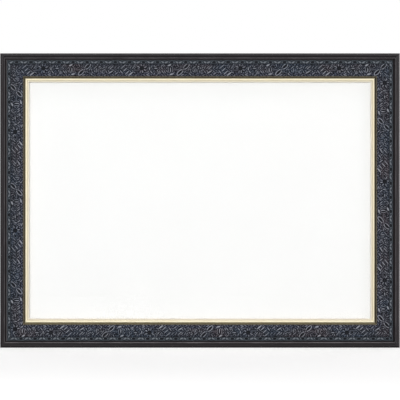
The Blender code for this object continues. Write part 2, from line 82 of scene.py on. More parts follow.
def onBack(side, along, fromEdge, points):
    # fittings on the back, all in mm: x along the rail, y outwards, z out of the back
    x, y, z = np.moveaxis(points, -1, 0)
    return onSide(side, (along + x) * mm, (fromEdge - y) * mm, -z * mm)


def gridFaces(rows, columns, wrapRows=False, wrapColumns=False):
    # the four corner numbers of each cell of a grid numbered row by row
    i = np.arange(rows if wrapRows else rows - 1)[:, None]
    j = np.arange(columns if wrapColumns else columns - 1)[None, :]
    row, nextRow = i * columns, (i + 1) % rows * columns
    jNext = (j + 1) % columns
    cells = np.broadcast_arrays(row + j, row + jNext, nextRow + jNext, nextRow + j)
    return np.stack(cells, -1).reshape(-1, 4)


def putIn(name, data):
    # a new object in the scene
    made = bpy.data.objects.new(name, data)
    bpy.context.scene.collection.objects.link(made)
    return made


def makePiece(name, points, quads, caps=(), uv=None, marks=None, sharp=32):
    # a closed shell; the volume under its faces tells whether they point outwards
    points = np.asarray(points, float).reshape(-1, 3)
    triangles = [quads[:, [0, 1, 2]], quads[:, [0, 2, 3]]]
    for cap in caps:
        cap = np.asarray(cap)
        triangles.append(np.stack([np.full(len(cap) - 2, cap[0]), cap[1:-1], cap[2:]], 1))
    a, b, c = points[np.concatenate(triangles)].transpose(1, 0, 2)
    if np.einsum("ij,ij->", a, np.cross(b, c)) < 0:
        quads = quads[:, ::-1]
        caps = [cap[::-1] for cap in caps]
    mesh = bpy.data.meshes.new(name)
    mesh.from_pydata(points, [], quads.tolist() + [list(map(int, cap)) for cap in caps])
    mesh.polygons.foreach_set("use_smooth", np.ones(len(mesh.polygons), bool))
    mesh.set_sharp_from_angle(angle=math.radians(sharp))
    corners = np.empty(len(mesh.loops), np.int32)
    mesh.loops.foreach_get("vertex_index", corners)
    if uv is not None:
        layer = mesh.uv_layers.new(name="flat")
        layer.uv.foreach_set("vector", np.asarray(uv, np.float32).reshape(-1, 2)[corners].ravel())
    for key, values in (marks or {}).items():
        attribute = mesh.attributes.new(key, "FLOAT", "POINT")
        attribute.data.foreach_set("value", np.asarray(values, np.float32).ravel())
    mesh.update()
    return putIn(name, mesh)


def dress(piece, body, slotName, material, *nodes):
    # what a piece is made of, what it moves with, and the nodes that it stands for
    piece.data.materials.append(material)
    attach(piece, body)
    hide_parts(*nodes)
    return piece


def climb(value, start, width):
    # 0 up to the start, then straight up to 1 over the width
    return np.clip((value - start) / width, 0, 1)


def peak(value, place, reach):
    # 1 at a place, falling straight to 0 at its reach to either side
    return np.clip(1 - abs(value - place) / reach, 0, 1)


def soften(corners, steps=5):
    # corners are (across, up, cut) in mm; each is rounded by (1-t)^2 A + 2t(1-t) P + t^2 B,
    # where A and B lie cut away from the corner P on its two edges
    table = np.array(corners, float) * mm
    place, cut = table[:, :2], table[:, 2:]
    edges = (np.roll(place, 1, 0) - place, np.roll(place, -1, 0) - place)
    a, b = (place + edge / np.linalg.norm(edge, axis=1, keepdims=True) * cut for edge in edges)
    t = np.linspace(0, 1, steps)[None, :, None]
    bent = (1 - t) ** 2 * a[:, None] + 2 * t * (1 - t) * place[:, None] + t**2 * b[:, None]
    return bent.reshape(-1, 2)


def makeTube(name, points, uv=None, marks=None, sharp=32):
    # rings of points joined one to the next; one face closes the first ring and one the last
    rows, columns = points.shape[:2]
    ring = np.arange(columns)
    caps = [ring[::-1], ring + (rows - 1) * columns]
    return makePiece(name, points, gridFaces(rows, columns, wrapColumns=True), caps, uv, marks, sharp)


def mitredSweep(name, side, profile, marks, stations=9):
    # a closed profile carried along the rail: along = share * (half - across - mitre shift)
    share = np.linspace(-1, 1, stations)[:, None]
    along = share * (sides[side]["half"] - profile[None, :, 0] - mitreShift)
    across = np.broadcast_to(profile[:, 0], along.shape)
    up = np.broadcast_to(profile[:, 1], along.shape)
    step = np.linalg.norm(np.diff(profile, axis=0, prepend=profile[:1]), axis=1)
    uv = np.stack([along, np.broadcast_to(np.cumsum(step), along.shape)], -1)
    marks = {key: np.broadcast_to(value, along.shape) for key, value in marks.items()}
    return makeTube(name, onSide(side, along, across, up), uv, marks)


def roundGrid(cells, reach=0.0):
    # a square grid bent onto a disc (or two half discs with a straight middle of length reach):
    # ring number = the larger of |u| and |v|, angle = pi/4 * smaller / larger in each quarter
    v = np.linspace(-1, 1, 2 * cells + 1)
    u = np.concatenate([v[: cells + 1], v[cells:]]) if reach else v
    middle = np.repeat((0.0, reach), cells + 1) if reach else np.zeros(len(v))
    u, v = np.meshgrid(u, v, indexing="ij")
    shift = np.broadcast_to(middle[:, None], u.shape)
    ring = np.maximum(abs(u), abs(v))
    safe = np.where(ring > 0, ring, 1)
    steep = abs(u) < abs(v)
    quarter = np.pi / 4 * np.where(steep, u, v) / safe
    x = np.where(steep, np.sin(quarter), np.cos(quarter) * np.sign(u))
    y = np.where(steep, np.cos(quarter) * np.sign(v), np.sin(quarter))
    return ring, np.where(ring > 0, x, 0), np.where(ring > 0, y, 0), shift


def roundPiece(name, side, along, fromEdge, points):
    # a round grid set on the back; its outer loop, turned round, closes the underside
    rows, columns = shape = points.shape[:2]
    number = np.arange(rows * columns).reshape(shape)
    loop = np.concatenate([number[0], number[1:, -1], number[-1, -2::-1], number[-2:0:-1, 0]])
    return makePiece(name, onBack(side, along, fromEdge, points), gridFaces(*shape), [loop[::-1]])


def tone(red, green, blue):
    # a screen colour from 0 to 255 as the shader's linear colour
    value = np.array((red, green, blue)) / 255
    linear = np.where(value <= 0.04045, value / 12.92, ((value + 0.055) / 1.055) ** 2.4)
    return (*linear.tolist(), 1.0)


def newMaterial(name, **constants):
    # constants are set on the shader's own sockets; it also gives the place on the piece
    material = bpy.data.materials.new(name)
    material.use_nodes = True
    tree = material.node_tree
    shader = tree.nodes["Principled BSDF"]
    for key, value in constants.items():
        shader.inputs[key.replace("_", " ")].default_value = value
    return material, tree, shader, add(tree, "TexCoord", take=3)


def add(tree, kind, take=0, **values):
    # makes a node; values name its settings or its sockets, of which in0 is the first
    made = tree.nodes.new("ShaderNode" + kind)
    for key, value in values.items():
        if hasattr(made, key):
            setattr(made, key, value)
            continue
        numbered = key.startswith("in") and key[2:].isdigit()
        fill(tree, made.inputs[int(key[2:]) if numbered else key], value)
    return made.outputs[take]


def fill(tree, socket, value):
    # a socket is linked, and anything else is set
    if isinstance(value, bpy.types.NodeSocket):
        tree.links.new(value, socket)
    else:
        socket.default_value = value


def ramp(tree, factor, *stops):
    # runs straight from stop to stop; a stop is a place with a colour or a grey
    node = tree.nodes.new("ShaderNodeValToRGB")
    elements = node.color_ramp.elements
    while len(elements) < len(stops):
        elements.new(0.5)
    for element, (place, color) in zip(elements, stops):
        element.position = place
        element.color = color if isinstance(color, tuple) else (color, color, color, 1)
    tree.links.new(factor, node.inputs["Fac"])
    return node.outputs["Color"]


def mix(tree, factor, first, second):
    # first * (1 - factor) + second * factor
    node = tree.nodes.new("ShaderNodeMix")
    node.data_type = "RGBA"
    for number, value in ((0, factor), (6, first), (7, second)):  # its colour sockets are 6 and 7
        fill(tree, node.inputs[number], value)
    return node.outputs[2]


def math2(tree, operation, first, second, clamp=False):
    # first and second joined by the operation
    return add(tree, "Math", operation=operation, use_clamp=clamp, in0=first, in1=second)


def noise(tree, vector, scale, detail=4.0, roughness=0.55):
    # cloudy values round 0.5
    return add(tree, "TexNoise", Vector=vector, Scale=scale, Detail=detail, Roughness=roughness)


def stretched(tree, vector, scale):
    # the place times the scale, so that a noise of scale 1 runs in streaks
    return add(tree, "Mapping", Vector=vector, Scale=scale)


def spread(tree, value, low, high):
    # a noise's usual reach, 0.3 to 0.7, as low to high
    return add(tree, "MapRange", Value=value, in1=0.3, in2=0.7, in3=low, in4=high)


def mark(tree, name):
    # a value that the piece's points carry
    return add(tree, "Attribute", take=2, attribute_name=name)


def finish(tree, shader, color, height, depth, roughness=None):
    # colour, relief of a depth in mm, and gloss, as they vary over the surface
    tree.links.new(color, shader.inputs["Base Color"])
    if roughness is not None:
        tree.links.new(roughness, shader.inputs["Roughness"])
    rough = add(tree, "Bump", Height=height, Distance=depth * mm, Strength=1.0)
    tree.links.new(rough, shader.inputs["Normal"])


# rails: dark satin lacquer in front, bare wood behind
railLook = {
    "lacquer": tone(19, 16, 19),
    "lacquerWarm": tone(29, 25, 27),
    "flank": tone(48, 42, 45),
    # a pale tone laid on as rubbed lacquer and as painted highlights
    "rubbed": tone(150, 146, 150),
    "bronze": tone(130, 121, 94),
    "bronzeDark": tone(92, 84, 60),
    "woodLight": tone(206, 178, 138),
    "woodDark": tone(160, 122, 82),
    "specular": 0.14,
    "roughness": (0.34, 0.5),
    "matter": 0.45,  # how much rougher the bare wood and the outer walls are
    "cloudScale": 28.0,
    "streakScale": (9, 900, 1),  # along and across the rail
    "poreScale": (160, 2600, 1),
    "grainScale": (5, 340, 1),
    "waverScale": 90.0,  # of the line at which the lacquer ends
    "bumpDepth": 0.06,  # in mm, as are the places across the rail below
    "wear": {  # paler lines, partly rubbed lacquer and partly painted highlights that differ by side as the light falls: place, reach to each side, and strength
        "top": ((2.1, 1.9, 0.22), (9.9, 1.5, 0.42), (11.4, 1.2, 0.15), (13.8, 1.1, 0.12)),
        "bottom": ((9.3, 1.3, 0.12), (11.2, 1.3, 0.7)),
        "left": ((7.2, 1.2, 0.17), (9.3, 1.3, 0.33), (13.7, 1.2, 0.4)),
        "right": ((2.1, 1.9, 0.28), (7.4, 1.5, 0.28), (9.2, 1.3, 0.33)),
    },
    "wearAbove": 17,  # the height above which the paler lines of wear and painted highlight lie
    "bronzeShare": {"top": 0.5, "bottom": 1.0, "left": 0.4, "right": 0.18},  # how much of the bronze tone each side takes; its differences between sides are painted light and shade
    "bronzeFrom": (50.2, 0.4),  # where it starts, and over which width
    "bareFrom": (1.0, 3.2),  # the same for bare wood
    "flankWidth": 0.3,
}
railCorners = [  # across, up and cut in mm; the ring starts on the channel's hidden floor
    (32, 12.5, 0.1),
    (14.5, 12.5, 0.1),
    (14.5, 18.4, 0.2),
    (13.3, 18.4, 0.35),
    (12.25, 17.2, 0.4),
    (11.2, 19.9, 0.2),
    (9.6, 21.7, 2.1),
    (8, 19.9, 0.2),
    (8, 20.6, 0.3),
    (4, 23.18, 4.5),
    (0, 20.6, 0.35),
    (0, 0, 0.8),
    (4, 0, 0.1),
    (58, 0, 0.3),
    (58, 11, 0.2),
    (52.7, 11, 0.2),
    (52.7, 12.8, 0.3),
    (50.5, 14.5, 0.4),
    (50.5, 12.5, 0.1),
]


def railMaterial():
    # streaky lacquer, mixed by their marks with a pale tone of rubbed lacquer and painted highlights, the
    # outer wall's tone and bronze;
    # bare wood takes over along a ragged line
    look = railLook
    specular = {"Specular_IOR_Level": look["specular"]}
    material, tree, shader, place = newMaterial("dark satin lacquer", **specular)
    flat = add(tree, "UVMap", uv_map="flat")
    streak = noise(tree, stretched(tree, flat, look["streakScale"]), 1.0, 6.0, 0.6)
    cloud = noise(tree, place, look["cloudScale"], 5.0)
    pores = noise(tree, stretched(tree, flat, look["poreScale"]), 1.0, 3.0, 0.5)
    warmth = ramp(tree, streak, (0.35, 0.0), (0.75, 1.0))
    body = mix(tree, warmth, look["lacquer"], look["lacquerWarm"])
    patchy = ramp(tree, cloud, (0.3, 0.45), (0.7, 1.0))
    # the pale lines: rubbed lacquer and painted highlights, stronger on the sides where light falls
    wornAndLit = math2(tree, "MULTIPLY", mark(tree, "wornAndLit"), patchy, clamp=True)
    body = mix(tree, wornAndLit, body, look["rubbed"])
    body = mix(tree, mark(tree, "flank"), body, look["flank"])
    bronze = mix(tree, cloud, look["bronzeDark"], look["bronze"])
    body = mix(tree, mark(tree, "bronze"), body, bronze)
    grain = noise(tree, stretched(tree, flat, look["grainScale"]), 1.0, 8.0, 0.65)
    wood = mix(tree, ramp(tree, grain, (0.3, 0.0), (0.7, 1.0)), look["woodDark"], look["woodLight"])
    wood = mix(tree, ramp(tree, pores, (0.55, 0.0), (0.72, 0.35)), wood, look["woodDark"])
    waver = math2(tree, "SUBTRACT", noise(tree, place, look["waverScale"], 6.0, 0.6), 0.5)
    ragged = math2(tree, "ADD", mark(tree, "raw"), math2(tree, "MULTIPLY", waver, 0.5))
    bare = ramp(tree, ragged, (0.47, 0.0), (0.53, 1.0))
    dry = math2(tree, "MAXIMUM", bare, mark(tree, "flank"))
    gloss = spread(tree, cloud, *look["roughness"])
    matt = math2(tree, "ADD", gloss, math2(tree, "MULTIPLY", dry, look["matter"]))
    height = math2(tree, "ADD", streak, math2(tree, "MULTIPLY", pores, bare))
    finish(tree, shader, mix(tree, bare, body, wood), height, look["bumpDepth"], matt)
    return material


def makeRails():
    # the rail's profile carried along each side; the marks are straight slopes across it, and each pale
    # line of wear and painted highlight fades in proportion to the distance from its place
    look = railLook
    profile = soften(railCorners)
    across, up = profile.T / mm
    back = up < 0.5
    rebateWall = (across > 57) & (up < 12)
    slope = climb(across, *look["bronzeFrom"]) * (up > 12.6)
    marks = {
        "raw": climb(across, *look["bareFrom"]) * (back | rebateWall),
        "flank": peak(across, 0, look["flankWidth"]),
    }
    material = railMaterial()
    for side in sides:
        # each side's pale lines lie where light falls on that side: painted highlights, with some wear
        place, reach, strength = np.array(look["wear"][side]).T[..., None]
        lines = (strength * peak(across, place, reach)).sum(0)
        marks["wornAndLit"] = lines * (up > look["wearAbove"])
        # the slope's own bronze, more or less of it by side: painted light and shade
        marks["bronze"] = slope * look["bronzeShare"][side]
        piece = mitredSweep("moulding_" + side, side, profile, marks)
        dress(piece, "frame", "rail_lacquer", material, "rail_" + side)
    print("rails made")


makeRails()

# gilt slips
slipLook = {
    "leaf": tone(252, 244, 215),
    "shade": tone(246, 235, 202),
    "step": tone(228, 221, 202),
    # a darker tone painted as shade in the valley and at the bead's foot
    "rubbed": tone(164, 152, 122),
    # a darker gilt tone painted as shade on the left and right slips, strongest on the right
    "aged": tone(216, 206, 176),
    "paintedShadeBySide": {"top": 0.0, "bottom": 0.0, "left": 0.25, "right": 0.6},
    "metallic": 0.08,
    "roughness": (0.26, 0.42),
    "cloudScale": 60.0,
    "streakScale": (24, 700, 1),  # along and across the rail
    "bumpDepth": 0.05,  # in mm, as are the places across the rail below
    "valley": (58.4, 0.7),  # painted shade in the valley: its place and reach
    # painted shade at the bead's foot: its place and reach, then its strength
    "foot": (53, 1.2),
    "footShare": 0.7,
    "stepFrom": (58.0, 0.5),
    "roundSteps": 9,  # points on each softened corner
}
slipCorners = [  # across, up and cut in mm
    (58.3, 11.3, 0.1),
    (53, 11.3, 0.1),
    (53, 12.7, 0.15),
    (55.65, 17.9, 5.6),
    (58.3, 12.7, 0.15),
    (58.8, 12.6, 0.2),
    (60.9, 13.3, 0.6),
    (61.7, 9.4, 0.3),
    (61.7, 8.5, 0.2),
    (58.3, 8.5, 0.1),
]


def slipMaterial():
    # cloudy gilt, mixed by their marks with a darker tone painted as shade on the side slips, the step's
    # tone, and a darker tone painted as shade in the valley and at the foot
    look = slipLook
    material, tree, shader, place = newMaterial("pale gilt", Metallic=look["metallic"])
    flat = add(tree, "UVMap", uv_map="flat")
    cloud = noise(tree, place, look["cloudScale"], 5.0, 0.6)
    streak = noise(tree, stretched(tree, flat, look["streakScale"]), 1.0, 4.0)
    body = mix(tree, ramp(tree, cloud, (0.35, 0.0), (0.68, 1.0)), look["leaf"], look["shade"])
    # the side slips darkened: painted shade
    body = mix(tree, mark(tree, "aged"), body, look["aged"])
    body = mix(tree, mark(tree, "step"), body, look["step"])
    streaky = math2(tree, "ADD", streak, 0.3)
    # the valley and the foot darkened with the darker tone: painted shade
    rubbed = math2(tree, "MULTIPLY", mark(tree, "hollow"), streaky, clamp=True)
    color = mix(tree, rubbed, body, look["rubbed"])
    height = math2(tree, "ADD", cloud, streak)
    finish(tree, shader, color, height, look["bumpDepth"], spread(tree, streak, *look["roughness"]))
    return material


def makeSlips():
    # the slip's profile carried along each side, with straight slopes across it as marks
    look = slipLook
    profile = soften(slipCorners, look["roundSteps"])
    across = profile[:, 0] / mm
    marks = {
        # where shade is painted: the valley and the bead's foot
        "hollow": peak(across, *look["valley"]) + peak(across, *look["foot"]) * look["footShare"],
        "step": climb(across, *look["stepFrom"]),
    }
    material = slipMaterial()
    for side in sides:
        # how much painted shade each side's slip takes
        marks["aged"] = np.full(len(across), look["paintedShadeBySide"][side])
        piece = mitredSweep("gilt_bead_" + side, side, profile, marks)
        dress(piece, "frame", "gilt", material, "gilt_slip_" + side)
    print("gilt slips made")


makeSlips()

# relief strips: an arabesque pressed over a leaning ground of small leaves; lengths are in mm
relief = {
    "start": 14.8,  # across the rail, of the strip's outer edge
    "width": 35.4,
    "base": 12.8,
    "outerHeight": 17.9,
    "innerHeight": 14.6,
    "arch": 1.1,
    "rise": 2.0,
    "repeat": 210.8,
    "columns": 512,  # of one repeat of the pattern
    "rows": 87,
    "cellsAlong": {"top": 1390, "bottom": 1390, "left": 1010, "right": 1010},
    "cellsAcross": 66,
    "phase": {"top": 0.724, "bottom": 0.623, "left": 0.44, "right": 0.326},
    "creaseAngle": 60,
    # the recesses' near-black: painted shade, with some antiquing
    "recessShade": tone(13, 16, 22),
    "body": tone(78, 81, 91),
    "bodyCool": tone(70, 81, 97),
    "bodyWarm": tone(87, 80, 87),
    "bodyBlue": tone(83, 87, 104),
    # the crests' pale tone: wear and painted highlights
    "rubbed": tone(164, 167, 175),
    "border": tone(73, 81, 88),
    "fillet": tone(130, 122, 104),
    "specular": 0.1,
    "roughness": (0.45, 0.62),
    "driftScale": 16.0,
    "cloudScale": 45.0,
    "speckScale": 1500.0,
    "bumpDepth": 0.05,
    # strengths over the share of the width, from the outer edge
    "bodyFrom": ((0.2, 0.0), (0.24, 1.0)),
    "blueBand": ((0.7, 0.0), (0.78, 1.0), (0.88, 0.8), (0.93, 0.0)),
    "darkBand": ((0.32, 0.0), (0.38, 0.2), (0.45, 0.24), (0.5, 0.0)),
    "filletFrom": ((0.95, 0.0), (0.96, 1.0)),
    # strengths over the pattern's height, of the body over the painted shade of the recesses and of the
    # pale crests of wear and painted highlight
    "raised": ((0.12, 0.0), (0.54, 1.0)),
    "wornAndLit": ((0.6, 0.0), (1.0, 1.0)),
}
undergrowth = {"rows": (10.3, 15.6, 20.6, 25.6, 30.9), "leaves": 38, "loose": 110, "seed": 5}
stem = {"across": 19.8, "sway": 1.2, "half": 1.0, "pairs": (8, 46, 71, 81, 137, 156, 167, 186, 193)}
border = {
    "end": 7.8,
    "bandHeight": 0.52,
    "pairs": 7,
    "firstPair": 17.0,
    "oval": (15.05, 4.1, 4.4, 2.3),  # past a pair, across, half length and half width
    "lobes": (  # from a pair's middle, across, tilt, length, width, height, bend and gap
        (0.5, 5.6, 74, 7.6, 5.8, 0.8, -22, 0.7),
        (9.2, 6.6, 24, 5.4, 2.2, 0.78, 30, 0.8),
    ),
    "fieldEnd": 33.6,
    "fillet": (34.4, 0.9),  # its middle and half width
    "filletHeight": 0.7,
    "filletWaves": ((17, 0), (29, 1)),  # waves in a repeat, and where they start
    "waveDepth": 0.16,
}
pattern = np.zeros((relief["columns"], relief["rows"]))


def heading(angle):
    # (cos, sin) of an angle in degrees
    return np.array((math.cos(math.radians(angle)), math.sin(math.radians(angle))))


def press(points, half, height, gap=1.2, power=0.6):
    # raises a stroke: height * (1 - (distance / half)^2)^power, inside a gap that sinks what was
    # there before in proportion to the distance from the stroke's edge
    columns, rows = pattern.shape
    step = np.array((relief["repeat"] / columns, relief["width"] / (rows - 1)))
    reach = half.max() + gap + 0.4
    low = np.floor((points.min(0) - reach) / step).astype(int)
    high = np.ceil((points.max(0) + reach) / step).astype(int) + 1
    across = np.arange(max(0, low[1]), min(rows, high[1]))
    along = np.arange(low[0], high[0])
    if not len(across):
        return
    fromAlong = (along * step[0])[:, None, None] - points[:, 0]
    fromAcross = (across * step[1])[None, :, None] - points[:, 1]
    distance = np.hypot(fromAlong, fromAcross)
    near = (distance / half).min(axis=2)
    clear = (distance - half).min(axis=2)
    window = np.ix_(along % columns, across)
    sunk = pattern[window] * np.clip(clear / gap, 0, 1)
    pattern[window] = np.maximum(sunk, height * np.clip(1 - near**2, 0, 1) ** power)


def leaf(along, across, angle, length, width, height=1.0, bend=0.0, gap=1.2):
    # a stroke from a point at an angle (0 runs along, 90 inwards) that turns by bend; its width
    # swells in the first half by sin(pi * share^0.65)^0.75
    t = np.linspace(0, 1, 16)
    turn = np.radians(angle + bend * t[:-1])
    steps = np.stack([np.cos(turn), np.sin(turn)], 1) * length / 15
    points = np.concatenate([[(along, across)], (along, across) + np.cumsum(steps, 0)])
    half = width / 2 * np.sin(np.pi * np.clip(t, 0.04, 0.96) ** 0.65) ** 0.75 + 0.15
    press(points, half, height, gap)


def boss(along, across, radius, height=1.0, gap=1.0):
    # a stroke of one point
    press(np.array([(along, across)]), np.array([radius]), height, gap)


def loop(along, across, reach, width, height=1.0, stretch=1.0, angle=0.0):
    # an oval ring; stretch lengthens the axis that lies at the angle
    turn, lie = np.linspace(0, 2 * np.pi, 72), np.radians(angle)
    longer, shorter = reach * stretch * np.cos(turn), reach * np.sin(turn)
    x = longer * np.cos(lie) - shorter * np.sin(lie)
    y = longer * np.sin(lie) + shorter * np.cos(lie)
    press(np.stack([x, y], 1) + (along, across), np.full(72, width / 2), height)


def hollow(along, across, angle, length, half):
    # sinks a straight slot round a middle point down to the pattern's floor
    t = np.linspace(-0.5, 0.5, 12)[:, None] * length
    press((along, across) + t * heading(angle), np.full(12, half), 0.0, 0.8)


def scroll(along, across, radius, turns, start, hand, width, height=1.0):
    # a spiral of radius * (1 - share)^0.85 that ends in a boss
    t = np.linspace(0, 1, 60)
    angle = np.radians(start) + hand * 2 * np.pi * turns * t
    reach = (radius * (1 - t) ** 0.85 + 0.5)[:, None]
    points = (along, across) + reach * np.stack([np.cos(angle), np.sin(angle)], 1)
    press(points, width / 2 * (1 - 0.4 * t), height)
    boss(along, across, 1.7, height)


def clearOval(along, across, halfAlong, halfAcross, depth=0.0):
    # sinks an oval hole: the old height climbs back from 0.85 to 1.1 of its radius, and the hole
    # deepens by depth from 1 down to 0.6 of it
    columns, rows = pattern.shape
    repeat = relief["repeat"]
    gridAlong = (np.arange(columns) / columns * repeat)[:, None]
    gridAcross = np.linspace(0, relief["width"], rows)[None, :]
    away = (gridAlong - along + repeat / 2) % repeat - repeat / 2
    hole = np.hypot(away / halfAlong, (gridAcross - across) / halfAcross)
    pattern[:] = pattern * climb(hole, 0.85, 0.25) - depth * np.clip((1.0 - hole) / 0.4, 0, 1)


def carveGround():
    # rows of leaves that lean one way and the other by turns, then a looser layer
    for row, across in enumerate(undergrowth["rows"]):
        for k in range(undergrowth["leaves"]):
            lean = 1 if (k // 3 + row) % 2 else -1
            sway = math.sin(k * 2.4 + row * 1.7)
            angle = -90 + lean * (44 + 10 * sway)
            length = 6.6 + 0.8 * sway
            middle = (k + 0.5 * (row % 2)) * relief["repeat"] / undergrowth["leaves"], across
            start = middle - length / 2 * heading(angle)
            leaf(*start, angle, length, 3.0, 0.66 + 0.16 * sway, lean * 25)
    chance = np.random.default_rng(undergrowth["seed"])
    for along, across, lean, size, height in chance.random((undergrowth["loose"], 5)):
        place = relief["repeat"] * along, 12.0 + 21.0 * across
        angle = (-50 if lean < 0.6 else -128) + 40 * (size - 0.5)
        length, width = 5.2 + 3.0 * size, 2.5 + 0.7 * size
        leaf(*place, angle, length, width, 0.62 + 0.36 * height, 50 * (height - 0.5), 0.9)


def carveStem():
    # a line that sways three times in a repeat, with pairs of leaves
    share = np.linspace(0, 1, 420)
    swayed = stem["across"] + stem["sway"] * np.sin(6 * np.pi * share)
    press(np.stack([share * relief["repeat"], swayed], 1), np.full(420, stem["half"]), 0.8, 1.3)
    for k, along in enumerate(stem["pairs"]):
        for side in (-1, 1):
            across = stem["across"] + side * 2
            leaf(along, across, side * (52 + 6 * math.sin(k)), 9.5, 3.3, 0.9, -side * 22)
            leaf(along - 5, across, side * (70 - 8 * math.sin(k)), 8.0, 3.0, 0.85, -side * 30)


def wreath(along, across, reach):
    # curling leaves round a dark hole: angle = 45 * number + 20 + 9 sin(2.6 * number)
    for k in range(8):
        angle = 45 * k + 20 + 9 * math.sin(2.6 * k)
        start = (along, across) + reach * heading(angle)
        length, height = 7.0 + 1.5 * math.sin(3.7 * k), 0.84 + 0.14 * math.sin(1.9 * k)
        leaf(*start, angle + 38, length, 3.6, height, -60)
    clearOval(along, across, reach, 4.4, 0.3)


def spray(along, across, turn):
    # three leaves from one foot, each bent by half its lean
    for lean in (-58, -20, 18):
        leaf(along, across, turn - 25 + lean, 8.0, 3.1, 1.0, lean / 2)


def petals(along, across, size):
    # two oval petals with slits, on a slant over sprays that cross them, and a boss between
    for angle in (43, 223):
        for lean in (-34, 0, 30):
            leaf(along, across, angle + lean, 12.0 - abs(lean) / 12, 3.0, 0.8, -lean / 2)
    for angle in (-43, 137):
        middle = (along, across) + (size + 1.6) * heading(angle)
        hollow(*middle, angle, 1.5 * size, 2.4)
        loop(*middle, 3.5, 2.8, 1.0, size / 3.5, angle)
    boss(along, across, 1.9, 0.9)


# pressed in this order, each over what lies there; a leaf has along, across, angle, length, width,
# height and bend, and a scroll along, across, radius, turns, start, hand, width and height
motifs = (
    (wreath, 28.5, 17.2, 4.6),
    (leaf, 45, 21, -90, 8.5, 3.2, 1.0),
    (spray, 55.0, 17.5, 0),
    (spray, 62.0, 27.5, 0),
    (spray, 38.0, 30.5, 20),
    (spray, 131.5, 15.0, 180),
    (spray, 151.0, 12.5, 150),
    (scroll, 75.0, 13.6, 5.2, 0.9, 120, 1, 3.0, 0.85),
    (hollow, 89.7, 19.8, 90, 13.0, 4.2),  # bud: a bar in an oval shell, a petal above, one below
    (loop, 89.7, 19.8, 4.9, 2.5, 0.85, 1.6, 90),
    (leaf, 89.7, 25.4, -90, 11.4, 3.2, 1.0),
    (leaf, 84.2, 12.2, -28, 8.0, 4.8, 1.1),
    (leaf, 88.6, 30.6, -16, 9.0, 4.8, 1.1),
    (petals, 116.6, 19.5, 7.8),
    (leaf, 142.5, 25.6, -112, 11.0, 3.1, 0.88, 66),  # three leaves
    (leaf, 146.0, 26.0, -64, 11.5, 3.1, 0.94, -66),
    (leaf, 145.0, 24.4, -84, 7.4, 2.5, 0.8),
    (scroll, 158.5, 25.6, 5.0, 0.9, -60, -1, 2.9, 0.85),
    (leaf, 168.0, 28.0, -31, 14.5, 3.4, 1.05),  # leaning strokes
    (leaf, 170.6, 19.0, -41, 12.0, 3.2, 1.0),
    (leaf, 181.5, 30.5, -38, 10.0, 3.0, 0.9),
    (leaf, 194.5, 17.8, -40, 15.0, 3.2, 1.0),
    (leaf, 199.6, 23.6, -43, 13.6, 3.2, 1.0),
    (leaf, 203.6, 30.0, -42, 14.0, 3.2, 1.0),
    (leaf, 210.8, 32.4, -38, 13.0, 4.2, 1.15),
)


def carveBorder():
    # a flat band with pairs of lobes and a dark oval between pairs, then a fillet whose height
    # waves a little: 1 + depth * sin(17 turns) + depth * sin(29 turns + 1)
    across = np.linspace(0, relief["width"], relief["rows"])[None, :]
    pattern[:] *= climb(across, border["end"], 0.5)
    band = np.clip((border["end"] - 0.1 - across) / 0.4, 0, 1) * climb(across, -0.1, 0.5)
    pattern[:] = np.where(band > 0, np.maximum(pattern, border["bandHeight"] * band), pattern)
    past, *oval = border["oval"]
    for k in range(border["pairs"]):
        middle = border["firstPair"] + k * relief["repeat"] / border["pairs"]
        clearOval(middle + past, *oval)
        for side in (-1, 1):
            for aside, inward, tilt, length, width, height, bend, gap in border["lobes"]:
                angle = -90 + side * tilt
                leaf(middle + side * aside, inward, angle, length, width, height, side * bend, gap)
    turn = np.arange(relief["columns"])[:, None] * 2 * np.pi / relief["columns"]
    waves = sum(np.sin(count * turn + start) for count, start in border["filletWaves"])
    fillet = peak(across, *border["fillet"]) ** 0.6 * (1 + border["waveDepth"] * waves)
    pattern[:] *= np.clip((border["fieldEnd"] - across) / 0.5, 0, 1)
    raised = np.maximum(pattern, border["filletHeight"] * fillet)
    pattern[:] = np.where(fillet > 0, raised, pattern)


def readPattern(along, across):
    # the pattern's height between its grid points, by bilinear weights; it repeats along the rail
    columns, rows = pattern.shape
    u = along / relief["repeat"] * columns
    v = np.clip(across / relief["width"], 0, 1) * (rows - 1)
    i, j = np.floor(u).astype(int), np.minimum(np.floor(v).astype(int), rows - 2)
    a, b = u - i, v - j
    ends = (i % columns, (i + 1) % columns)
    near, far = (pattern[end, j] * (1 - b) + pattern[end, j + 1] * b for end in ends)
    return near * (1 - a) + far * a


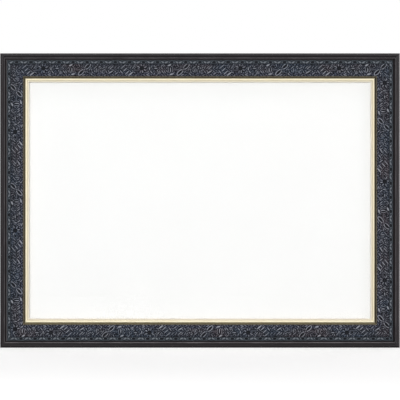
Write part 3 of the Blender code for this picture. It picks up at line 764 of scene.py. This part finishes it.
def reliefMaterial():
    # body tones that drift along the strip and change across it, near black where the pattern is low
    # (painted shade, with some antiquing) and pale where it is high (wear and painted highlights)
    look = relief
    specular = {"Specular_IOR_Level": look["specular"]}
    material, tree, shader, place = newMaterial("slate relief composition", **specular)
    across = add(tree, "SeparateXYZ", take=1, Vector=add(tree, "UVMap", uv_map="flat"))
    lift = mark(tree, "lift")
    cloud = noise(tree, place, look["cloudScale"], 5.0)
    speck = noise(tree, place, look["speckScale"], 3.0, 0.6)
    drift = noise(tree, place, look["driftScale"], 3.0)
    share = math2(tree, "DIVIDE", across, look["width"] * mm)
    tones = ((0.36, look["bodyCool"]), (0.5, look["body"]), (0.64, look["bodyWarm"]))
    body = mix(tree, ramp(tree, share, *look["blueBand"]), ramp(tree, drift, *tones), look["bodyBlue"])
    ground = mix(tree, ramp(tree, share, *look["bodyFrom"]), look["border"], body)
    ground = mix(tree, ramp(tree, share, *look["filletFrom"]), ground, look["fillet"])
    speckled = math2(tree, "ADD", speck, 0.3)
    # the high places paled: wear and painted highlights
    wornAndLit = math2(tree, "MULTIPLY", ramp(tree, lift, *look["wornAndLit"]), speckled, clamp=True)
    # the low places darkened: painted shade in the recesses, with some antiquing
    color = mix(tree, ramp(tree, lift, *look["raised"]), look["recessShade"], ground)
    color = mix(tree, wornAndLit, color, look["rubbed"])
    # darker in clouds and in a band across the strip
    cloudy = math2(tree, "MULTIPLY", cloud, 0.25)
    darkening = math2(tree, "ADD", cloudy, ramp(tree, share, *look["darkBand"]))
    color = mix(tree, darkening, color, look["recessShade"])
    finish(tree, shader, color, speck, look["bumpDepth"], spread(tree, speck, *look["roughness"]))
    return material


def makeStrip(side, material):
    # up = ground(across) + rise * pattern(along, across); the ground falls inwards with a
    # shallow arch, along = share * (half - across - mitre shift), and two flat walls close it
    share = np.linspace(-1, 1, relief["cellsAlong"][side] + 1)[:, None]
    t = np.linspace(0, 1, relief["cellsAcross"] + 1)[None, :]
    inner = t * relief["width"]
    along = share * (sides[side]["half"] - (relief["start"] + inner) * mm - mitreShift) / mm
    height = readPattern(relief["phase"][side] * relief["repeat"] - along, inner + 0 * along)
    ground = relief["outerHeight"] + (relief["innerHeight"] - relief["outerHeight"]) * t
    up = ground + 4 * relief["arch"] * t * (1 - t) + relief["rise"] * height
    # the two feet: the first and last columns again, at the base
    foot = np.full((len(share), 1), relief["base"])
    up = np.concatenate([foot, up, foot], 1)
    along, inner, lift = (
        np.concatenate([values[:, :1], values, values[:, -1:]], 1)
        for values in (along, inner + 0 * along, height)
    )
    points = onSide(side, along * mm, (relief["start"] + inner) * mm, up * mm)
    uv = np.stack([along, inner], -1) * mm
    piece = makeTube("relief_" + side, points, uv, {"lift": lift}, relief["creaseAngle"])
    dress(piece, "frame", "relief", material, "relief_strip_" + side)


carveGround()
carveStem()
for motif, *settings in motifs:
    motif(*settings)
carveBorder()
reliefFinish = reliefMaterial()
for sideName in sides:
    makeStrip(sideName, reliefFinish)
print("relief strips made")

# fittings on the back, all lengths in mm
metals = {  # bright and dull colour, and the roughness
    "zinc plate": (tone(196, 198, 200), tone(150, 153, 158), (0.22, 0.42)),
    "brassed steel": (tone(216, 186, 122), tone(196, 163, 98), (0.22, 0.42)),
    "steel nail": (tone(150, 152, 158), tone(70, 72, 80), (0.3, 0.55)),
}
metalScale = 260.0
metalBump = 0.02


def metalMaterial(name):
    # bright metal that clouds over to a dull tone
    bright, dull, roughness = metals[name]
    material, tree, shader, place = newMaterial(name, Metallic=1.0)
    cloud = noise(tree, place, metalScale, 5.0, 0.6)
    fine = noise(tree, place, metalScale * 9, 3.0)
    color = mix(tree, ramp(tree, cloud, (0.38, 0.0), (0.66, 1.0)), bright, dull)
    finish(tree, shader, color, fine, metalBump, spread(tree, fine, *roughness))
    return material


zincFinish, brassFinish, steelFinish = map(metalMaterial, metals)

# a curve is a row of ring numbers, from 0 in the middle to 1 at the edge, and the row of its values
screwSizes = {
    "radius": ((0, 0.75, 0.88, 0.95, 1), (0, 2.6, 3.15, 3.2, 3.2)),
    "height": ((0, 0.35, 0.6, 0.75, 0.88, 0.95, 1), (2.0, 1.96, 1.75, 1.5, 1.0, 0.5, 0.02)),
    "arm": (0.42, 1.75),  # half width and half length of the recess's arms
    "recessReach": 2.2,
    "recessDepth": 1.1,
}


def makeScrew(name, side, along, fromEdge, seat, body):
    # pan head: radius and height are curves, and a cross recess is sunk into its top; a point's
    # arm number is 1 on the cross's outline
    ring, x, y, _ = roundGrid(14)
    radius = np.interp(ring, *screwSizes["radius"])
    x, y = x * radius, y * radius
    narrow, long = screwSizes["arm"]
    upright = np.maximum(abs(x) / narrow, abs(y) / long)
    level = np.maximum(abs(y) / narrow, abs(x) / long)
    wall = np.clip((1.25 - np.minimum(upright, level)) / 0.5, 0, 1)
    bowl = np.clip(1.3 - np.hypot(x, y) / screwSizes["recessReach"], 0, 1)
    height = np.interp(ring, *screwSizes["height"]) - wall * bowl * screwSizes["recessDepth"]
    piece = roundPiece(name, side, along, fromEdge, np.stack([x, y, seat + height], -1))
    return dress(piece, body, "zinc", zincFinish, name.replace("pan_", ""))


buttonSizes = {
    "along": {"top": (-250, 0, 250), "bottom": (-250, 0, 250), "left": (-110, 110), "right": (-110, 110)},
    "fromEdge": 49.0,
    "reach": 21,  # from the screw to the round end's middle
    "radius": ((0, 0.8, 0.93, 1), (0, 5.2, 5.5, 5.35)),
    "height": ((0, 0.8, 0.93, 1), (1.5, 1.42, 0.9, 0.3)),
    "rib": (4.5, 24, 3, 1.3, 0.7),  # from, to, run at its ends, half width and height
    "thickness": 1.5,
}


def makeButton(name, side, along, body):
    # a pressed stadium plate with a rounded rim: radius and height are curves, and a rib of
    # exp(-(y / half)^2) runs along its flat
    ring, x, y, shift = roundGrid(12, buttonSizes["reach"])
    radius = np.interp(ring, *buttonSizes["radius"])
    height = np.interp(ring, *buttonSizes["height"])
    x, y = x * radius + shift, y * radius
    start, end, run, half, rise = buttonSizes["rib"]
    rib = np.exp(-((y / half) ** 2)) * climb(x, start, run) * np.clip((end - x) / run, 0, 1)
    height = height + rise * rib * (ring < 0.8)
    piece = roundPiece(name, side, along, buttonSizes["fromEdge"], np.stack([x, y, height], -1))
    return dress(piece, body, "brass_plate", brassFinish, "turn_" + name)


hangerSizes = {
    "along": {"left": -160, "right": 160},
    "fromEdge": 38.0,
    "screws": (12, 24),  # from the eye
    "half": 6.5,
    "under": 0.3,
    "face": 1.9,
    "flat": (3.2, 31),  # where the strap's flat starts and ends
    "tail": (24.5, 6.7),  # where it narrows, and over which length
    "eye": (2.3, 2.6),  # radius, and height of its middle
    "eyeTurn": (-18, 250),
    "softEdge": 0.18,
    "ring": (1.2, 9.8, 2.4, 12.3),  # the wire's radius, and the D's half width, corners and reach
}


def makeStrap(side, along):
    # the folded strap seen from the side, carried across its width; the tail narrows by
    # half = 6.5 mm * (1 - ((x - 24.5) / 6.7)^2.5)^0.4
    sizes = hangerSizes
    turn = np.radians(np.linspace(*sizes["eyeTurn"], 24))
    radius, middle = sizes["eye"]
    eye = np.stack([-radius * np.cos(turn), middle + radius * np.sin(turn)], 1)
    flat = np.linspace(*sizes["flat"], 24)
    top = np.stack([flat[::-1], np.full(24, sizes["face"])], 1)
    under = np.stack([flat, np.full(24, sizes["under"])], 1)
    profile = np.concatenate([top, eye, under])
    half = sizes["half"] * (1 - climb(profile[:, 0], *sizes["tail"]) ** 2.5) ** 0.4
    x = np.linspace(-1, 1, 9)[:, None] * half
    y, z = (np.broadcast_to(values, x.shape) for values in profile.T)
    points = onBack(side, along, sizes["fromEdge"], np.stack([x, y, z], -1))
    piece = makeTube("strap_" + side, points)
    edge = piece.modifiers.new("soft edges", "BEVEL")
    edge.width = sizes["softEdge"] * mm
    edge.segments = 2
    edge.limit_method = "ANGLE"
    edge.angle_limit = math.radians(50)
    return dress(piece, "frame", "zinc", zincFinish, "hanger_strap_" + side)


def makeRing(side, along):
    # a D of wire: the route is offset by wire * (cos in the D's plane + sin out of it)
    sizes = hangerSizes
    wire, half, corner, reach = sizes["ring"]
    first = np.radians(np.linspace(90, 180, 7))
    bow = np.pi + np.linspace(0, np.pi, 31)[1:-1]
    last = np.radians(np.linspace(0, 90, 7))
    bar = np.linspace(half - corner, -half + corner, 6)[1:-1]
    stretches = (
        (-half + corner + corner * np.cos(first), -corner + corner * np.sin(first)),
        (half * np.cos(bow), -corner + (reach - corner) * np.sin(bow)),
        (half - corner + corner * np.cos(last), -corner + corner * np.sin(last)),
        (bar, np.zeros(4)),
    )
    route = np.concatenate([np.stack(stretch, 1) for stretch in stretches])
    way = np.roll(route, -1, 0) - np.roll(route, 1, 0)
    way /= np.linalg.norm(way, axis=1, keepdims=True)
    aside = np.stack([-way[:, 1], way[:, 0]], 1)
    angle = np.linspace(0, 2 * np.pi, 17)[:-1]
    flat = route[:, None] + wire * np.cos(angle)[None, :, None] * aside[:, None]
    out = np.broadcast_to(sizes["eye"][1] + wire * np.sin(angle), flat.shape[:2])
    points = onBack(side, along, sizes["fromEdge"], np.concatenate([flat, out[..., None]], -1))
    faces = gridFaces(*out.shape, wrapRows=True, wrapColumns=True)
    piece = makePiece("ring_wire_" + side, points, faces, sharp=70)
    return dress(piece, "ring_" + side, "zinc", zincFinish, "hanger_ring_" + side)


nailSizes = {
    "fromEdge": (17, 42),
    "leg": 5.5,
    "half": 0.3,
    "spread": 55,  # degrees between a leg and the mitre
    "level": (0.04, -7.0),  # its two edges, out of the back and into the wood
}


def makeNail(name, xSign, zSign, fromEdge):
    # a V of thin steel driven across the mitre, its back edge level with the wood: a point is
    # |s| * leg * cos(spread) along the mitre and s * leg * sin(spread) across it
    point = np.array((xSign * (halfLength - fromEdge * mm), zSign * (halfHeight - fromEdge * mm)))
    inward = np.array((-xSign, -zSign)) / math.sqrt(2)
    acrossMitre = np.array((-inward[1], inward[0]))
    spreadAngle = math.radians(nailSizes["spread"])
    leg = nailSizes["leg"] * mm
    s = np.linspace(-1, 1, 9)[:, None]
    half = np.array([-1, 1, 1, -1])[None, :] * nailSizes["half"] * mm
    deep = np.repeat(nailSizes["level"], 2)[None, :] * mm
    run = abs(s) * leg * math.cos(spreadAngle) + half / math.sin(spreadAngle)
    side = s * leg * math.sin(spreadAngle) + 0 * half
    flat = point + run[..., None] * inward + side[..., None] * acrossMitre
    y = np.broadcast_to(backY + deep, run.shape)
    piece = makeTube(name, np.stack([flat[..., 0], y, flat[..., 1]], -1))
    return dress(piece, "frame", "steel", steelFinish, "corner_" + name)


footSizes = {
    "rubber": tone(74, 74, 76),
    "rubberPale": tone(96, 96, 98),
    "fromCorner": 85.0,
    "fromEdge": 28.0,
    "radius": ((0, 0.6, 0.7, 0.9, 1), (0, 6.4, 7.1, 8.0, 8.0)),
    "height": ((0, 0.35, 0.5, 0.6, 0.7, 0.9, 1), (6.5, 6.5, 6.8, 6.75, 6.1, 2.6, 0.3)),
    "bumpDepth": 0.04,
}


def rubberMaterial():
    # two greys mixed by a fine noise
    material, tree, shader, place = newMaterial("grey rubber", Roughness=0.75)
    cloud = noise(tree, place, 500.0)
    color = mix(tree, cloud, footSizes["rubber"], footSizes["rubberPale"])
    finish(tree, shader, color, cloud, footSizes["bumpDepth"])
    return material


def makeBumper(side, xSign, material):
    # a soft foot: radius and height are curves, with a shallow dish in its end
    ring, x, y, _ = roundGrid(14)
    radius = np.interp(ring, *footSizes["radius"])
    points = np.stack([x * radius, y * radius, np.interp(ring, *footSizes["height"])], -1)
    along = xSign * (halfLength / mm - footSizes["fromCorner"])
    piece = roundPiece("soft_foot_" + side, "bottom", along, footSizes["fromEdge"], points)
    return dress(piece, "frame", "bumper_rubber", material, "wall_bumper_" + side)


for sideName, places in buttonSizes["along"].items():
    for number, station in enumerate(places, 1):
        button = f"button_{sideName}_{number}"
        screw = f"pan_button_screw_{sideName}_{number}"
        makeButton(button, sideName, station, button)
        makeScrew(screw, sideName, station, buttonSizes["fromEdge"], buttonSizes["thickness"], "frame")
for sideName, station in hangerSizes["along"].items():
    makeStrap(sideName, station)
    makeRing(sideName, station)
    for number, distance in enumerate(hangerSizes["screws"], 1):
        screw = f"pan_hanger_screw_{sideName}_{number}"
        fromEdge = hangerSizes["fromEdge"] - distance
        makeScrew(screw, sideName, station, fromEdge, hangerSizes["face"], "frame")
for height, zSign in (("top", 1), ("bottom", -1)):
    for width, xSign in (("left", -1), ("right", 1)):
        for number, fromEdge in enumerate(nailSizes["fromEdge"], 1):
            makeNail(f"nail_{height}_{width}_{number}", xSign, zSign, fromEdge)
rubberFinish = rubberMaterial()
makeBumper("left", -1, rubberFinish)
makeBumper("right", 1, rubberFinish)
print("fittings made")

# sheets: their own CAD meshes, painted
sheetLook = {
    "card": tone(254, 254, 253),
    "cardShade": tone(252, 252, 251),
    "cardRoughness": 0.85,
    "board": tone(132, 96, 64),
    "boardDark": tone(116, 81, 52),
    "boardFibre": tone(166, 128, 88),
    "boardRoughness": (0.42, 0.7),
    "clear": tone(253, 254, 254),
    "clearRoughness": (0.0, 0.05),
    "refraction": 1.49,
    "passes": 0.994,  # of the light, at each of the clear sheet's two faces
}


def cardMaterial():
    # white that hardly clouds, over a fine pulp
    look = sheetLook
    material, tree, shader, place = newMaterial("white card", Roughness=look["cardRoughness"])
    pulp = noise(tree, place, 900.0, 5.0, 0.6)
    cloud = ramp(tree, noise(tree, place, 9.0, 3.0), (0.4, 0.0), (0.8, 1.0))
    finish(tree, shader, mix(tree, cloud, look["card"], look["cardShade"]), pulp, 0.02)
    return material


def boardMaterial():
    # two browns that cloud into each other, with paler fibres where a stretched noise is high
    look = sheetLook
    material, tree, shader, place = newMaterial("brown hardboard")
    fibre = noise(tree, stretched(tree, place, (1, 1, 0.35)), 620.0, 6.0, 0.7)
    cloud = ramp(tree, noise(tree, place, 22.0, 6.0, 0.6), (0.3, 0.0), (0.7, 1.0))
    color = mix(tree, cloud, look["boardDark"], look["board"])
    color = mix(tree, ramp(tree, fibre, (0.56, 0.0), (0.72, 0.8)), color, look["boardFibre"])
    finish(tree, shader, color, fibre, 0.05, spread(tree, fibre, *look["boardRoughness"]))
    return material


def clearMaterial():
    # light on its way to a surface passes straight, so that it counts once; the rest is refracted
    look = sheetLook
    constants = {"IOR": look["refraction"], "Transmission_Weight": 1.0, "Base_Color": look["clear"]}
    material, tree, shader, place = newMaterial("clear sheet", **constants)
    haze = spread(tree, noise(tree, place, 30.0), *look["clearRoughness"])
    tree.links.new(haze, shader.inputs["Roughness"])
    straight = add(tree, "BsdfTransparent", Color=(*[look["passes"]] * 3, 1))
    path = tree.nodes.new("ShaderNodeLightPath")
    lighting = math2(tree, "MAXIMUM", path.outputs["Is Shadow Ray"], path.outputs["Is Diffuse Ray"])
    choice = add(tree, "MixShader", in0=lighting, in1=shader.outputs[0], in2=straight)
    tree.links.new(choice, tree.nodes["Material Output"].inputs["Surface"])
    return material


def paint(node, material):
    # a new material in each of a CAD node's own slots
    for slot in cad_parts[node].material_slots:
        slot.material = material


paint("mount_sheet", cardMaterial())
paint("backing_board", boardMaterial())
paint("front_sheet", clearMaterial())
print("sheets painted")

# stage, light and camera, in metres
stageLook = {
    "pixel": 2.1365 * mm,  # of the photo, at the frame's front edges
    "pixels": 400,
    "sensor": 36,
    "distance": 6.0,
    "frontY": -13 * mm,
    "moveX": 0.1 * mm,
    "moveZ": 1.1 * mm,
    "ambient": 0.38,
    "floorHalf": 12.0,
    "floorRoughness": 0.9,
    "floorShare": 0.42,  # how much of its light the floor has from the lamps
    "floorFade": (1.3, 3.2),  # distances from the middle between which the share falls to 0
    "floorLit": 0.96,  # how much of its glow the floor gives up for each share
    "lamps": {  # place, width and height, power and tint
        "front top": ((0, -3.0, 0.58), (2.4, 0.3), 19.0, (1, 1, 1)),
        "front left": ((-0.82, -2.8, 0.02), (0.5, 0.9), 18.0, (1, 1, 1)),
        "front right": ((0.82, -2.8, 0.02), (0.5, 0.9), 15.0, (1, 1, 1)),
        "key": ((-1.45, -2.7, 0.9), (0.6, 0.6), 12.0, (1, 1, 1)),
        "overhead": ((0, -0.5, 2.0), (2.6, 0.25), 7, (1, 0.93, 0.93)),
        "right": ((2.0, -0.7, 0.4), (0.3, 1.0), 5, (1, 0.92, 0.9)),
        "rear": ((0.9, 2.6, 1.7), (1.8, 1.0), 30, (1, 1, 1)),
        "rear low": ((-1.3, 2.6, 0.6), (0.9, 0.9), 24, (1, 1, 1)),
    },
}


def areaLamp(name, place, size, power, tint):
    # a lamp that faces the middle: tilted by acos(z / distance) and turned by atan2(x, -y)
    data = bpy.data.lights.new(name, "AREA")
    data.shape = "RECTANGLE"
    data.size, data.size_y = size
    data.energy = power
    data.color = tint
    lamp = putIn(name, data)
    lamp.location = place
    x, y, z = place
    lamp.rotation_euler = (math.acos(z / np.linalg.norm(place)), 0, math.atan2(x, -y))


def seenWhite(tree):
    # 1 for what is seen, straight, mirrored or through the clear sheet, and 0 for rays that light
    path = tree.nodes.new("ShaderNodeLightPath")
    passed = math2(tree, "MAXIMUM", path.outputs["Is Glossy Ray"], path.outputs["Is Transmission Ray"])
    return math2(tree, "MAXIMUM", path.outputs["Is Camera Ray"], passed)


def makeFloor():
    # the lamps light it by the frame; farther out it glows by itself, as white as the world:
    # glow = 1 - 0.96 * share, and the share falls smoothly to 0 with the distance
    look = stageLook
    half, z = look["floorHalf"], -halfHeight
    mesh = bpy.data.meshes.new("floor")
    square = [(-half, -half, z), (half, -half, z), (half, half, z), (-half, half, z)]
    mesh.from_pydata(square, [], [(0, 1, 2, 3)])
    floor = putIn("floor", mesh)
    constants = {"Roughness": look["floorRoughness"], "Specular_IOR_Level": 0.0}
    constants["Emission_Color"] = (1, 1, 1, 1)
    material, tree, shader, place = newMaterial("pale floor", **constants)
    away = add(tree, "VectorMath", take=1, operation="LENGTH", in0=place)
    near, far = look["floorFade"]
    fade = {"in1": near, "in2": far, "in3": look["floorShare"], "in4": 0.0}
    share = add(tree, "MapRange", interpolation_type="SMOOTHSTEP", Value=away, **fade)
    glow = math2(tree, "SUBTRACT", 1.0, math2(tree, "MULTIPLY", share, look["floorLit"]))
    tree.links.new(share, shader.inputs["Base Color"])
    seen = math2(tree, "MULTIPLY", seenWhite(tree), glow)
    tree.links.new(seen, shader.inputs["Emission Strength"])
    mesh.materials.append(material)


def makeWorld():
    # white where it is seen, and a soft light elsewhere
    world = bpy.data.worlds.new("studio")
    bpy.context.scene.world = world
    world.use_nodes = True
    tree = world.node_tree
    background = tree.nodes["Background"]
    background.inputs["Color"].default_value = (1, 1, 1, 1)
    reach = {"in1": 0.0, "in2": 1.0, "in3": stageLook["ambient"], "in4": 1.0}
    level = add(tree, "MapRange", Value=seenWhite(tree), **reach)
    tree.links.new(level, background.inputs["Strength"])


def makeCamera():
    # square to the frame; lens = sensor * distance / the view's width
    look = stageLook
    camera = bpy.data.cameras.new("camera")
    camera.sensor_width = look["sensor"]
    camera.lens = look["sensor"] * look["distance"] / (look["pixel"] * look["pixels"])
    camera.clip_start = 0.1
    camera.clip_end = 100
    holder = putIn("camera", camera)
    holder.location = (look["moveX"], look["frontY"] - look["distance"], look["moveZ"])
    holder.rotation_euler = (math.pi / 2, 0, 0)
    bpy.context.scene.camera = holder


makeFloor()
makeWorld()
for lampName, settings in stageLook["lamps"].items():
    areaLamp(lampName, *settings)
makeCamera()
bpy.context.scene.view_settings.view_transform = "Standard"
print("stage set")
